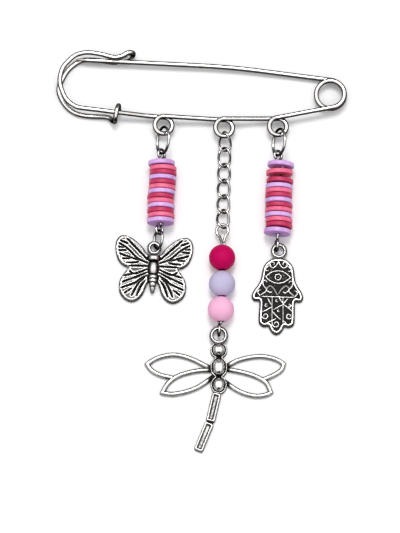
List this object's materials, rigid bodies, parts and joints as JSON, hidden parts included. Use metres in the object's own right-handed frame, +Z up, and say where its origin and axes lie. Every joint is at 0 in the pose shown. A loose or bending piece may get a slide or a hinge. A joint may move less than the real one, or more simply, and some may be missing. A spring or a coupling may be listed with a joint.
{
  "type": "sweater clip",
  "caption": "Kilt-pin brooch for knitwear: a sprung safety pin of bent wire whose loops carry strands of beads and chain, each with a cast charm.",
  "frame": {"origin": "on the table below the middle of the lying brooch's bounding box", "axes": "+Z up from the table, +Y from the charms up to the pin arm, +X along the pin from the catch to the coil"},
  "size_m": [0.067, 0.0946, 0.0062],
  "materials": {
    "pin_nickel": "polished nickel plating",
    "fine_nickel": "polished nickel plating",
    "antique_metal": "antiqued silver, dark in the recesses",
    "disc_lilac": "satin",
    "disc_crimson": "satin",
    "disc_coral": "satin",
    "bead_magenta": "matte",
    "bead_lavender": "matte",
    "bead_pink": "matte"
  },
  "bodies": {
    "clip": {"pin_frame": "pin_nickel", "ring_left_top": "fine_nickel", "ring_left_low": "fine_nickel", "ring_right_top": "fine_nickel", "eyepin_left": "fine_nickel", "eyepin_mid": "fine_nickel", "eyepin_right": "fine_nickel", "disc_l1": "disc_lilac", "disc_l2": "disc_coral", "disc_l3": "disc_crimson", "disc_l4": "disc_lilac", "disc_l5": "disc_crimson", "disc_l6": "disc_coral", "disc_l7": "disc_lilac", "disc_l8": "disc_crimson", "disc_l9": "disc_coral", "disc_l10": "disc_lilac", "disc_l11": "disc_crimson", "disc_l12": "disc_coral", "disc_l13": "disc_lilac", "disc_r1": "disc_lilac", "disc_r2": "disc_coral", "disc_r3": "disc_crimson", "disc_r4": "disc_lilac", "disc_r5": "disc_coral", "disc_r6": "disc_crimson", "disc_r7": "disc_lilac", "disc_r8": "disc_crimson", "disc_r9": "disc_coral", "disc_r10": "disc_lilac", "disc_r11": "disc_coral", "disc_r12": "disc_crimson", "disc_r13": "disc_lilac", "bead_top": "bead_magenta", "bead_mid": "bead_lavender", "bead_low": "bead_pink", "link_1": "fine_nickel", "link_2": "fine_nickel", "link_3": "fine_nickel", "link_4": "fine_nickel", "link_5": "fine_nickel", "link_6": "fine_nickel", "charm_butterfly": "antique_metal", "charm_dragonfly": "antique_metal", "charm_hand": "antique_metal"},
    "arm": {"pin_arm": "pin_nickel"}
  },
  "joints": [
    {"name": "arm_press", "type": "hinge", "parent": "clip", "child": "arm", "pos_m": [0.02969, 0.03696, 0.0014], "axis": [0, 0, 1], "range_deg": [0, 7], "stiffness_Nm_per_rad": 0.28, "springref_deg": -2.29}
  ]
}
